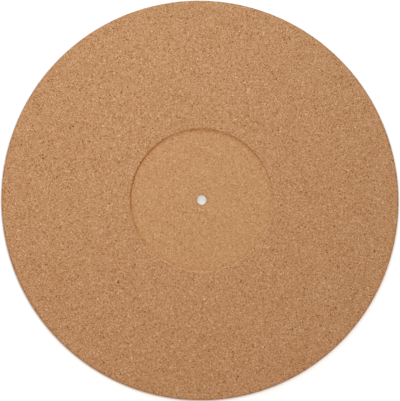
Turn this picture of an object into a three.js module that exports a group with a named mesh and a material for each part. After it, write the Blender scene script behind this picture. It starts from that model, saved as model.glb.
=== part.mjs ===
// Turntable platter mat: one disc of fine-grained agglomerated cork, cut from sheet.
// It lies on the platter under the record. A round recess is routed into the middle
// of the record side, so that a record's raised label hangs free and the record is
// carried on its playing area alone. The platter's spindle passes through the hole.
//
// Millimetres, +Z up. The origin is the centre of the spindle hole at the underside.

import * as THREE from "three";

// Sizes of the disc
const matDiameter = 300;
const matThickness = 3;

// Sizes of the label recess, and of the hole that drops over the spindle. The recess is
// measured at the record side. Its wall slopes, and runs inwards this far to its foot.
const recessDiameter = 108;
const recessDepth = 1;
const recessWallRun = 0.8;
const spindleHoleDiameter = 7.2;

// Radii of the edges. A blade leaves the outline a little round, the router leaves
// its own corner radius round the recess floor, and cork crumbles on every edge.
const outlineEdgeRadius = 0.5;
const recessRimRadius = 0.4;
const recessCornerRadius = 0.4;
const spindleHoleEdgeRadius = 0.2;

// Flat steps that stand in for each round edge of the section, and for the full circle
const stepsPerEdge = 4;
const stepsPerTurn = 192;

const down = -Math.PI / 2;
const outward = 0;
const up = Math.PI / 2;
const inward = Math.PI;

// Adds a quarter circle that stands out of the cork, from one direction to the next.
function roundEdge(section, centreRadius, centreHeight, edgeRadius, from) {
  section.absarc(centreRadius, centreHeight, edgeRadius, from, from + Math.PI / 2, false);
}

// The section to one side of the axis, drawn anticlockwise: x is the distance from
// the axis and y the height above the underside.
function matSection() {
  const outline = matDiameter / 2;
  const recess = recessDiameter / 2;
  const hole = spindleHoleDiameter / 2;
  const floorHeight = matThickness - recessDepth;

  const section = new THREE.Path();

  const outlineCentre = outline - outlineEdgeRadius;
  roundEdge(section, outlineCentre, outlineEdgeRadius, outlineEdgeRadius, down);
  roundEdge(section, outlineCentre, matThickness - outlineEdgeRadius, outlineEdgeRadius, outward);

  // The slope turns the section by less than a quarter, at the rim and again at the foot
  const slope = Math.atan2(recessDepth, recessWallRun);
  const roundedOff = Math.tan(slope / 2);
  section.absarc(
    recess + recessRimRadius * roundedOff,
    matThickness - recessRimRadius,
    recessRimRadius,
    up,
    up + slope,
    false,
  );
  section.absarc(
    recess - recessWallRun - recessCornerRadius * roundedOff,
    floorHeight + recessCornerRadius,
    recessCornerRadius,
    down + slope,
    down,
    true,
  );

  const holeCentre = hole + spindleHoleEdgeRadius;
  roundEdge(section, holeCentre, floorHeight - spindleHoleEdgeRadius, spindleHoleEdgeRadius, up);
  roundEdge(section, holeCentre, spindleHoleEdgeRadius, spindleHoleEdgeRadius, inward);
  section.closePath();
  return section;
}

// Turns a section about the axis. The lathe's own axis is Y, so the disc is laid down.
function turned(section) {
  const points = section.getPoints(stepsPerEdge / 2);
  return new THREE.LatheGeometry(points, stepsPerTurn).rotateX(Math.PI / 2);
}

const cork = new THREE.MeshStandardMaterial({
  name: "cork",
  color: new THREE.Color().setRGB(0.49, 0.255, 0.121),
  roughness: 0.9,
  metalness: 0,
});

const corkMat = new THREE.Mesh(turned(matSection()), cork);
corkMat.name = "cork_mat";

const platterMat = new THREE.Group();
platterMat.name = "platter_mat";
platterMat.add(corkMat);

export default platterMat;
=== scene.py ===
# A turntable platter mat of agglomerated cork, 300 mm across, lying on a white table.
# Lengths are in metres. The origin is the centre of the spindle hole at the underside.

import math
import random

import bpy
from mathutils import Matrix, Vector


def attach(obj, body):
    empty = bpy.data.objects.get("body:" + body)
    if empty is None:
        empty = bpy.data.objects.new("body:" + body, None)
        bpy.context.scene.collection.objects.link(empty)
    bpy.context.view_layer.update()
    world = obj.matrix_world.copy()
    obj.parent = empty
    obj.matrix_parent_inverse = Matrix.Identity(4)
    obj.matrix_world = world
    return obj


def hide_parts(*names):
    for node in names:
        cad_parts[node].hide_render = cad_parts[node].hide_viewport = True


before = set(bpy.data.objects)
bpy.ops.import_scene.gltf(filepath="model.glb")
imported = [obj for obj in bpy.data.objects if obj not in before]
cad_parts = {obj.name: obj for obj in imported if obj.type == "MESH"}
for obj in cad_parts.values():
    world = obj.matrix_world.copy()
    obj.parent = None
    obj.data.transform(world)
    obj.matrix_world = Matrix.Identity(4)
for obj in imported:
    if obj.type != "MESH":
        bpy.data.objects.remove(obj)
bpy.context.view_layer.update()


# THE MAT
# One disc of fine-grained agglomerated cork: bark ground to crumbs, pressed with a little
# binder into a block and sliced into sheet. The disc is cut out of the sheet with a blade,
# and a round recess is routed into the record side, so that a record's label hangs free.

mm = 0.001
mat_radius = 150 * mm
mat_thickness = 3 * mm
recess_radius = 54 * mm
recess_floor = 2 * mm
hole_radius = 3.6 * mm

# How far the recess wall leans back, and the radii of the round edges
recess_lean_back = 0.6 * mm
recess_rim = 0.4 * mm
recess_corner = 0.4 * mm
outline_edge = 0.5 * mm
hole_edge = 0.2 * mm

# The spindle has worn the hole a little wider, and the recess lies off the middle. The cork
# round its wall goes with it, less and less up to this far away.
hole_wear = 0.12 * mm
recess_offset = (-0.1 * mm, -0.5 * mm)
offset_fades_over = 0.6 * recess_radius

# The cutter that freed the recess ran a little deep on one side of it, and left a score. It
# is deepest at this angle, and runs out this far to each side.
score_depth = 0.4 * mm
score_width = 0.35 * mm
score_middle = math.radians(168)
score_reach = math.radians(78)

# A band of painted shade lies along the foot of the recess wall, from the score inwards.
shaded_foot_reach = 1.0 * mm

# How far apart the mesh's points lie
record_side_step = 1.12 * mm
recess_wall_step = 0.75 * record_side_step
underside_step = 2.4 * mm
section_step = 0.45 * mm


def arc(radius, height, size, start, turn, steps=3):
    """A quarter of a round edge in the section, as points of (radius, height)."""
    angles = [start + turn * i / steps for i in range(steps + 1)]
    return [(radius + size * math.cos(a), height + size * math.sin(a)) for a in angles]


def between(start, end, step):
    """Evenly spaced points from one point of the section to another, without the two."""
    run, rise = end[0] - start[0], end[1] - start[1]
    count = max(1, round(math.hypot(run, rise) / step))
    return [(start[0] + run * i / count, start[1] + rise * i / count) for i in range(1, count)]


def section_of_the_mat():
    """The section from the hole's lower edge over the record side to the outline, and back
    underneath, as (radius, height, spacing along the ring, cut, score, side). Cut runs from
    0 on the skin of the sheet to 1 on a cut wall; the cut edges crumble by it, and the finish
    paints shade by it. Score is the part of the score's full depth that the ring takes."""
    right_angle = math.pi / 2
    hole_centre = hole_radius + hole_wear + hole_edge
    hole_foot = arc(hole_centre, hole_edge, hole_edge, 3 * right_angle, -right_angle)
    hole_rim = arc(hole_centre, recess_floor - hole_edge, hole_edge, 2 * right_angle, -right_angle)

    outline_centre = mat_radius - outline_edge
    top_centre = mat_thickness - outline_edge
    outline_top = arc(outline_centre, top_centre, outline_edge, right_angle, -right_angle)
    outline_foot = arc(outline_centre, outline_edge, outline_edge, 0, -right_angle)

    # The recess wall leans back as it rises, between a hollow corner and a round rim
    lean = math.atan2(mat_thickness - recess_floor, recess_lean_back)
    corner_run = recess_corner * math.tan(lean / 2)
    rim_run = recess_rim * math.tan(lean / 2)
    corner = arc(
        recess_radius - recess_lean_back - corner_run, recess_floor + recess_corner,
        recess_corner, -right_angle, lean,
    )
    rim = arc(
        recess_radius + rim_run, mat_thickness - recess_rim,
        recess_rim, right_angle + lean, -lean,
    )
    wall = between(corner[-1], rim[0], section_step)
    score_start = (corner[0][0] - score_width, recess_floor)
    shaded_foot = [(score_start[0] - away, recess_floor) for away in (shaded_foot_reach, shaded_foot_reach / 2)]

    # Rows of even triangles lie closer together than the points in them
    row = record_side_step * math.sqrt(3) / 2
    under_row = underside_step * math.sqrt(3) / 2
    rings = []

    def add(points, spacing, cut=0.0, scores=None, side="record"):
        scores = scores or [0.0] * len(points)
        rings.extend((*p, spacing, cut, score, side) for p, score in zip(points, scores))

    # Cut also sets how much shade is painted: most on the hole and outline walls
    add(hole_foot, section_step, cut=0.8)
    add(between(hole_foot[-1], hole_rim[0], section_step), section_step, cut=1.0)
    add(hole_rim, section_step, cut=0.8)
    add(between(hole_rim[-1], shaded_foot[0], row), record_side_step)
    # Painted shade on the floor along the foot of the recess wall
    add(shaded_foot, record_side_step, cut=0.35)
    add([score_start], recess_wall_step, cut=0.4)
    add(corner, recess_wall_step, cut=0.15, scores=[0.8, 1.0, 0.9, 0.5])
    add(wall, recess_wall_step, cut=0.1, scores=[0.2] + [0.0] * (len(wall) - 1))
    add(rim, recess_wall_step, cut=0.1)
    add(between(rim[-1], outline_top[0], row), record_side_step)
    add(outline_top, record_side_step, cut=0.7)
    add(between(outline_top[-1], outline_foot[0], section_step), record_side_step, cut=1.0)
    add(outline_foot, record_side_step, cut=0.8)
    add(between(outline_foot[-1], hole_foot[0], under_row), underside_step, side="under")
    return rings


def laced(inner, outer):
    """Triangles between two rings that may differ in number. A ring is a list of
    (turn, vertex) in order of turn, which runs from 0 to 1."""
    faces = []
    i = j = 0
    while i < len(inner) or j < len(outer):
        a, b = inner[i % len(inner)][1], outer[j % len(outer)][1]
        next_inner, next_outer = inner[(i + 1) % len(inner)], outer[(j + 1) % len(outer)]
        inner_turn = next_inner[0] + (i + 1) // len(inner)
        outer_turn = next_outer[0] + (j + 1) // len(outer)
        if j == len(outer) or (i < len(inner) and inner_turn < outer_turn):
            faces.append((a, b, next_inner[1]))
            i += 1
        else:
            faces.append((a, b, next_outer[1]))
            j += 1
    return faces


def faded(away):
    """1 at the middle, easing to 0 at a distance of 1 and staying there."""
    return math.cos(away * math.pi / 2) ** 2 if abs(away) < 1 else 0.0


def score_at(angle):
    """How deep the score is at this angle, from 0 to 1."""
    return faded(((angle - score_middle + math.pi) % (2 * math.pi) - math.pi) / score_reach)


def smooth_mat():
    """The mat as a mesh of near-even triangles, before its grain is raised. Its map lays
    the record side with the cut walls out as one disc, and the underside as another."""
    rings = section_of_the_mat()

    # On the flats the points lie unevenly, by these shares of their spacing along the ring
    # and across it. Near the hole they don't stray across it.
    scatter = random.Random(11)
    along_scatter, across_scatter = 0.22, 0.2
    even_within = 5 * mm

    # Painted shade along the score, from the foot of the recess wall to just past its rim
    score_shade_from = recess_radius - recess_lean_back - 0.3 * mm
    score_shade_to = recess_radius + 1 * mm
    score_shade_amount = 0.95

    points, cuts, loops = [], [], []
    for radius, height, spacing, cut, score, side in rings:
        count = round(2 * math.pi * radius / spacing)
        start = scatter.random() / count
        on_flat = cut == 0
        score_shade = score_shade_amount if score_shade_from < radius < score_shade_to and side == "record" else 0.0
        ring = []
        for k in range(count):
            turn = start + k / count
            r = radius
            if on_flat:
                turn += scatter.uniform(-along_scatter, along_scatter) / count
                across = scatter.uniform(-across_scatter, across_scatter) * spacing
                r += across * (radius > even_within)
            angle = 2 * math.pi * turn
            z = height - score_depth * score * score_at(angle)
            share = faded((r - recess_radius) / offset_fades_over) if side == "record" else 0.0
            x = r * math.cos(angle) + share * recess_offset[0]
            y = r * math.sin(angle) + share * recess_offset[1]
            ring.append((turn, len(points)))
            points.append((x, y, z))
            # The score's painted shade is added to the cut
            cuts.append(min(1.0, cut + score_shade * score_at(angle)))
        loops.append(ring)

    # Where each ring lies in the map: its distance along the section from the hole's foot,
    # which itself stands off the middle of the disc
    hole_in_the_map = 1.5 * mm
    along = [hole_in_the_map]
    for a, b in zip(rings, rings[1:]):
        along.append(along[-1] + math.hypot(b[0] - a[0], b[1] - a[1]))
    seam = next(i for i, ring in enumerate(rings) if ring[5] == "under") - 1
    turns = {vertex: turn for ring in loops for turn, vertex in ring}

    # Each disc's centre in the map, and its radius there for each metre of cork
    record_disc = (0.335, 0.335, 0.33 / along[seam])
    under_disc = (0.742, 0.742, 0.25 / mat_radius)

    faces, places = [], []
    for k, ring in enumerate(loops):
        following = (k + 1) % len(loops)
        lacing = laced(ring, loops[following])
        under = k >= seam
        centre_x, centre_y, scale = under_disc if under else record_disc
        reach = {}
        for index in (k, following):
            distance = rings[index][0] if under else along[index]
            reach.update((vertex, distance) for _, vertex in loops[index])
        faces += lacing
        for face in lacing:
            for vertex in face:
                angle = 2 * math.pi * turns[vertex]
                x, y = reach[vertex] * math.cos(angle), reach[vertex] * math.sin(angle)
                places += (centre_x + scale * x, centre_y + scale * (-y if under else y))

    mesh = bpy.data.meshes.new("cork_sheet")
    mesh.from_pydata(points, [], faces)
    mesh.attributes.new("cut", "FLOAT", "POINT").data.foreach_set("value", cuts)
    mesh.uv_layers.new(name="OFBake").uv.foreach_set("vector", places)
    return mesh


class Wire:
    """What a node gives out. Arithmetic on it adds the Math node that works it out."""

    def __init__(self, bench, socket):
        self.bench = bench
        self.socket = socket

    def __add__(self, other):
        return self.bench.math("ADD", self, other)

    def __radd__(self, other):
        return self.bench.math("ADD", other, self)

    def __sub__(self, other):
        return self.bench.math("SUBTRACT", self, other)

    def __rsub__(self, other):
        return self.bench.math("SUBTRACT", other, self)

    def __mul__(self, other):
        return self.bench.math("MULTIPLY", self, other)

    def __rmul__(self, other):
        return self.bench.math("MULTIPLY", other, self)

    def __truediv__(self, other):
        return self.bench.math("DIVIDE", self, other)

    def __rtruediv__(self, other):
        return self.bench.math("DIVIDE", other, self)

    def __gt__(self, other):
        return self.bench.math("GREATER_THAN", self, other)


class Bench:
    """A node tree on the bench. node() adds any one node to it."""

    def __init__(self, tree):
        self.tree = tree
        tree.nodes.clear()

    def node(self, kind, settings=None, sockets=None):
        """Adds a node, makes its settings, fills its sockets with values or wires, and
        gives back what it puts out. Sockets go by their identifiers."""
        made = self.tree.nodes.new(kind)
        for name, value in (settings or {}).items():
            if name == "stops":
                ramp = made.color_ramp
                while len(ramp.elements) < len(value):
                    ramp.elements.new(1.0)
                for stop, (position, colour) in zip(ramp.elements, value):
                    stop.position, stop.color = position, (*colour, 1)
            else:
                setattr(made, name, value)
        for name, value in (sockets or {}).items():
            socket = next(s for s in made.inputs if s.identifier == name)
            if isinstance(value, Wire):
                self.tree.links.new(value.socket, socket)
            else:
                socket.default_value = value
        return {s.identifier: Wire(self, s) for s in made.outputs}

    def math(self, operation, first, second):
        """One number worked out from two."""
        sockets = {"Value": first, "Value_001": second}
        return self.node("ShaderNodeMath", {"operation": operation}, sockets)["Value"]

    def larger(self, first, second):
        """The larger of two numbers."""
        return self.math("MAXIMUM", first, second)

    def blend(self, amount, below, above, how="MIX"):
        """One colour laid over another."""
        settings = {"data_type": "RGBA", "blend_type": how}
        sockets = {"Factor_Float": amount, "A_Color": below, "B_Color": above}
        return self.node("ShaderNodeMix", settings, sockets)["Result_Color"]

    def ease(self, value, low, high):
        """0 below low and 1 above high, with a smooth step between."""
        settings = {"interpolation_type": "SMOOTHSTEP"}
        sockets = {"Value": value, "From Min": low, "From Max": high}
        return self.node("ShaderNodeMapRange", settings, sockets)["Result"]


# The granules' middle colour and how far a tone of 1 lies from it, in 255ths
cork_tan = (196.3, 142.8, 97.2)
tan_spread = (29.5, 36, 41)

# Other colours, as amounts of light: bark specks, cork that the router has closed, and the
# warm brown that painted shade multiplies the cork by
bark_brown = (0.12, 0.03, 0.003, 1)
routed_straw = (0.700, 0.377, 0.155, 1)
painted_shade_brown = (0.90, 0.74, 0.56, 1)


def as_light(shades):
    """Screen shades in 255ths as amounts of light."""
    return [((max(c, 0) / 255 + 0.055) / 1.055) ** 2.4 for c in shades]


def cork_finish():
    """Cork granules from straw to brown, matt, each with its own tone and its own small
    hump, and a few dark bark specks among them. The routed floor is closed and paler. Cut
    walls, torn hollows, the foot of the recess wall and the score carry painted shade."""
    material = bpy.data.materials.new("agglomerated_cork")
    material.use_nodes = True
    bench = Bench(material.node_tree)
    place = bench.node("ShaderNodeTexCoord")["Object"]

    # Granules are torn crumbs, so their outlines are pushed about
    pushes_per_metre, pushed_by = 900.0, 0.4 * mm
    push = bench.node("ShaderNodeTexNoise", {}, {
        "Vector": place, "Scale": pushes_per_metre, "Detail": 1.0,
    })["Color"]
    pushed = bench.node("ShaderNodeVectorMath", {"operation": "MULTIPLY_ADD"}, {
        "Vector": push, "Vector_001": (pushed_by,) * 3, "Vector_002": place,
    })["Vector"]

    def grains(size):
        """Cells of this size: how far a place is from its cell's centre, and three chances
        that each cell has of its own, as its red, green and blue."""
        cells = bench.node("ShaderNodeTexVoronoi", {}, {"Vector": pushed, "Scale": 1 / size})
        chances = bench.node("ShaderNodeSeparateColor", {}, {"Color": cells["Color"]})
        return cells["Distance"], chances

    from_centre, granule = grains(0.52 * mm)
    _, crumb = grains(0.66 * mm)
    _, fleck = grains(0.85 * mm)

    # Most granules differ a little in tone, a few crumbs stand out as pale or dark, and the
    # sheet is faintly mottled
    granule_contrast, mottle_contrast = 1.55, 0.15
    pale_share, paler_by = 0.06, 1.15
    dark_share, darker_by = 0.09, 1.8
    mottles_per_metre = 60.0
    mottle = bench.node("ShaderNodeTexNoise", {}, {
        "Vector": place, "Scale": mottles_per_metre, "Detail": 1.0,
    })["Fac"]
    pale = bench.ease(crumb["Red"], 1 - pale_share, 1.0)
    dark = 1 - bench.ease(crumb["Red"], 0.0, dark_share)
    rare = pale * paler_by - dark * darker_by
    tone = (granule["Red"] - 0.5) * granule_contrast + rare + (mottle - 0.5) * mottle_contrast

    # The ramp runs from a tone of -2 to one of 2
    body = bench.node("ShaderNodeValToRGB", {"stops": [
        (0.5 + shift / 4, as_light(c + shift * spread for c, spread in zip(cork_tan, tan_spread)))
        for shift in (-2, -1, -0.5, 0, 0.5, 1, 2)
    ]}, {"Fac": tone * 0.25 + 0.5})["Color"]
    bark_share, bark_strength = 0.0055, 0.8
    bark = fleck["Green"] > 1 - bark_share
    body = bench.blend(bark * bark_strength, body, bark_brown)

    # The routed floor: within the foot of the recess wall, and well above the underside
    routed_strength = 0.23
    wall_foot = recess_radius - recess_lean_back
    spot = bench.node("ShaderNodeSeparateXYZ", {}, {"Vector": place})
    level = bench.node("ShaderNodeCombineXYZ", {}, {
        "X": spot["X"] - recess_offset[0], "Y": spot["Y"] - recess_offset[1],
    })["Vector"]
    radius = bench.node("ShaderNodeVectorMath", {"operation": "LENGTH"}, {"Vector": level})["Value"]
    inside = 1 - bench.ease(radius, wall_foot - 0.3 * mm, wall_foot)
    routed = inside * bench.ease(spot["Z"], 1.2 * mm, 1.6 * mm)
    closed = bench.blend(routed * routed_strength, body, routed_straw)

    # Cut walls, torn hollows, the foot of the recess wall and the score are darkened towards a
    # warm brown: painted shade
    shade_in_torn, shade_on_cut = 0.5, 0.8
    torn = bench.node("ShaderNodeAttribute", {"attribute_name": "torn"})["Fac"]
    cut = bench.node("ShaderNodeAttribute", {"attribute_name": "cut"})["Fac"]
    painted_shade = bench.larger(torn * shade_in_torn, cut * shade_on_cut)
    colour = bench.blend(painted_shade, closed, painted_shade_brown, "MULTIPLY")

    # Each granule is a hump that stands at its own height, crumbs lift them further, and the
    # router has taken off part of that
    humped, stepped, crumbed, routed_off = 0.5, 0.5, 0.4, 0.5
    relief = (1 - from_centre) * humped + granule["Blue"] * stepped + crumb["Blue"] * crumbed
    normal = bench.node("ShaderNodeBump", {}, {
        "Strength": 0.4, "Distance": 0.1 * mm, "Height": relief * (1 - routed * routed_off),
    })["Normal"]

    surface = bench.node("ShaderNodeBsdfPrincipled", {}, {
        "Base Color": colour,
        "Roughness": 0.82 + granule["Red"] * 0.12,
        "Specular IOR Level": 0.2,
        "Normal": normal,
    })
    bench.node("ShaderNodeOutputMaterial", {}, {"Surface": surface["BSDF"]})
    return material


def raised_grain(body, finish):
    """The body with its grain raised, as a plain mesh: granules stand at uneven heights,
    some have been torn out, and the cut edges have crumbled. Nothing rises above the body."""
    tree = bpy.data.node_groups.new("cork_grain", "GeometryNodeTree")
    for name, kind in (
        ("Body", "Geometry"), ("Granule Size", "Float"), ("Granule Height", "Float"),
        ("Torn Share", "Float"), ("Torn Depth", "Float"), ("Crumbled Depth", "Float"),
        ("Seed", "Float"), ("Finish", "Material"),
    ):
        tree.interface.new_socket(name, in_out="INPUT", socket_type="NodeSocket" + kind)
    tree.interface.new_socket("Cork", in_out="OUTPUT", socket_type="NodeSocketGeometry")
    bench = Bench(tree)
    given = {s.name: Wire(bench, s) for s in tree.nodes.new("NodeGroupInput").outputs}

    place = bench.node("GeometryNodeInputPosition")["Position"]
    out = bench.node("GeometryNodeInputNormal")["Normal"]

    def grains(per_metre, seed):
        """Three chances that each cell has of its own, as its red, green and blue."""
        cells = bench.node("ShaderNodeTexVoronoi", {"voronoi_dimensions": "4D"}, {
            "Vector": place, "W": seed, "Scale": per_metre,
        })
        return bench.node("FunctionNodeSeparateColor", {}, {"Color": cells["Color"]})

    # Lumps of a few granules tear and chip out as one. On a cut edge some lumps hold, and
    # where one has chipped it looks partly torn.
    lumps_per_granule, holding_share, chips_look_torn = 0.6, 0.45, 0.6
    per_metre = 1.0 / given["Granule Size"]
    granule = grains(per_metre, given["Seed"])
    lump = grains(per_metre * lumps_per_granule, given["Seed"] + 5.0)
    torn = lump["Red"] > 1 - given["Torn Share"]
    cut = bench.node("GeometryNodeInputNamedAttribute", {"data_type": "FLOAT"}, {"Name": "cut"})
    chipped = cut["Attribute"] * bench.ease(lump["Green"], holding_share, 1.0)
    drop = (
        granule["Green"] * given["Granule Height"]
        + torn * given["Torn Depth"]
        + chipped * given["Crumbled Depth"]
    )
    offset = bench.node("ShaderNodeVectorMath", {"operation": "SCALE"}, {
        "Vector": out, "Scale": 0 - drop,
    })["Vector"]
    shaped = bench.node("GeometryNodeSetPosition", {}, {
        "Geometry": given["Body"], "Offset": offset,
    })["Geometry"]
    # Torn hollows and chips are marked, and the finish paints shade in them
    looks_torn = bench.larger(torn, chipped * chips_look_torn)
    on_points = {"data_type": "FLOAT", "domain": "POINT"}
    marked = bench.node("GeometryNodeStoreNamedAttribute", on_points, {
        "Geometry": shaped, "Name": "torn", "Value": looks_torn,
    })["Geometry"]
    rounded = bench.node("GeometryNodeSetShadeSmooth", {}, {"Geometry": marked})["Geometry"]
    whole = bench.node("GeometryNodeRealizeInstances", {}, {"Geometry": rounded})["Geometry"]
    finished = bench.node("GeometryNodeSetMaterial", {}, {
        "Geometry": whole, "Material": given["Finish"],
    })["Geometry"]
    bench.node("NodeGroupOutput", {}, {tree.interface.items_tree["Cork"].identifier: finished})

    modifier = body.modifiers.new("grain", "NODES")
    modifier.node_group = tree
    for name, value in (
        ("Granule Size", 0.9 * mm), ("Granule Height", 0.04 * mm), ("Torn Share", 0.006),
        ("Torn Depth", 0.2 * mm), ("Crumbled Depth", 0.2 * mm), ("Seed", 3.0), ("Finish", finish),
    ):
        modifier[tree.interface.items_tree[name].identifier] = value
    evaluated = body.evaluated_get(bpy.context.evaluated_depsgraph_get())
    made = bpy.data.meshes.new_from_object(evaluated)
    body.modifiers.remove(modifier)
    return made


cork = cork_finish()
mat = bpy.data.objects.new("platter_mat", smooth_mat())
bpy.context.scene.collection.objects.link(mat)
mat.data = raised_grain(mat, cork)
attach(mat, "root")
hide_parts("cork_mat")


# THE TABLE
# A white studio table, far larger than the picture, that takes the mat's soft shadow. What
# the eye sees of it is lifted towards white: hardly at all in the hole, in part close to the
# mat, where the shadow stays, and fully further off.

table_reach = 20.0
table_top = -0.05 * mm
table_corners = [
    (along * table_reach, across * table_reach, table_top)
    for along, across in ((-1, -1), (1, -1), (1, 1), (-1, 1))
]
table_mesh = bpy.data.meshes.new("table")
table_mesh.from_pydata(table_corners, [], [(0, 1, 2, 3)])
table = bpy.data.objects.new("table", table_mesh)
bpy.context.scene.collection.objects.link(table)

table_white = (0.85, 0.85, 0.85, 1)
lift_in_the_hole = (0.09, 0.11, 0.12, 1)
lift_close_by = (0.45, 0.45, 0.45, 1)
lift_further_off = (0.9, 0.9, 0.9, 1)
close_by_starts = mat_radius + 1.5 * mm
close_by_ends = mat_radius + 10 * mm
further_off_starts = 600 * mm

white = bpy.data.materials.new("white_table")
white.use_nodes = True
bench = Bench(white.node_tree)
seen = bench.node("ShaderNodeLightPath")
seen_or_mirrored = bench.larger(seen["Is Camera Ray"], seen["Is Glossy Ray"])
to_the_eye = bench.larger(seen_or_mirrored, seen["Is Transmission Ray"])
spot = bench.node("ShaderNodeTexCoord")["Object"]
from_the_middle = bench.node("ShaderNodeVectorMath", {"operation": "LENGTH"}, {"Vector": spot})
from_the_middle = from_the_middle["Value"]
around = bench.ease(from_the_middle, mat_radius, close_by_starts)
far_off = bench.ease(from_the_middle, close_by_ends, further_off_starts)
outside = bench.blend(far_off, lift_close_by, lift_further_off)
glow = bench.blend(around, lift_in_the_hole, outside)
paint = bench.node("ShaderNodeBsdfDiffuse", {}, {"Color": table_white})["BSDF"]
lift = bench.node("ShaderNodeEmission", {}, {"Color": glow, "Strength": to_the_eye})["Emission"]
both = bench.node("ShaderNodeAddShader", {}, {"Shader": paint, "Shader_001": lift})["Shader"]
bench.node("ShaderNodeOutputMaterial", {}, {"Surface": both})
table.data.materials.append(white)


# THE LIGHT
# A white room that is a little warm, a soft lamp high above the upper left, and a broad cool
# one low behind the top edge. Their shares of the light that falls on the mat add up to 1.

room_share = 0.48
room_tint = (1.10, 1, 0.90, 1)
plain_white = (1, 1, 1, 1)
world = bpy.data.worlds.new("white_room")
world.use_nodes = True
bench = Bench(world.node_tree)
seen = bench.node("ShaderNodeLightPath")
to_the_eye = bench.larger(seen["Is Camera Ray"], seen["Is Transmission Ray"])
room = bench.node("ShaderNodeBackground", {}, {
    "Color": bench.blend(to_the_eye, room_tint, plain_white),
    "Strength": room_share + to_the_eye * (1 - room_share),
})["Background"]
bench.node("ShaderNodeOutputWorld", {}, {"Surface": room})
bpy.context.scene.world = world


def lamp(name, share, bearing, height, distance, size, colour):
    """An area lamp aimed at the mat. Bearing turns from +X towards +Y, height is above the
    horizon, both in degrees, and share is its part of the light on the mat."""
    b, h = math.radians(bearing), math.radians(height)
    towards = Vector((math.cos(b) * math.cos(h), math.sin(b) * math.cos(h), math.sin(h)))
    light = bpy.data.lights.new(name, "AREA")
    light.shape = "RECTANGLE"
    light.size, light.size_y = size
    light.color = colour
    light.energy = share * math.pi ** 2 * distance ** 2 / math.sin(h)
    holder = bpy.data.objects.new(name, light)
    holder.location = towards * distance
    holder.rotation_euler = towards.to_track_quat("Z", "Y").to_euler()
    holder.visible_camera = False
    bpy.context.scene.collection.objects.link(holder)


lamp(
    "lamp_over", share=0.32, bearing=138, height=73, distance=0.42,
    size=(0.3, 0.3), colour=(0.98, 1, 1.02),
)
lamp(
    "lamp_low", share=0.20, bearing=95, height=20, distance=1.1,
    size=(0.9, 0.4), colour=(0.60, 1.0, 1.36),
)


# THE CAMERA
# Almost straight above, a little to the left of the mat, with a long lens. The mat's +Y is
# up in the picture.

picture_height = 401
stand = Vector((-0.2074, -0.0758, 1.7535))
aim = Vector((-0.00119, -0.00052, 0.0))
focal_in_pixels = 2351.9
lens = bpy.data.cameras.new("camera")
lens.sensor_width = 36
lens.lens = lens.sensor_width * focal_in_pixels / picture_height
ahead = (aim - stand).normalized()
right = ahead.cross(Vector((0, 1, 0))).normalized()
turned = Matrix((right, right.cross(ahead), -ahead)).transposed().to_4x4()
camera = bpy.data.objects.new("camera", lens)
camera.matrix_world = Matrix.Translation(stand) @ turned
bpy.context.scene.collection.objects.link(camera)
bpy.context.scene.camera = camera

bpy.context.scene.view_settings.view_transform = "Standard"
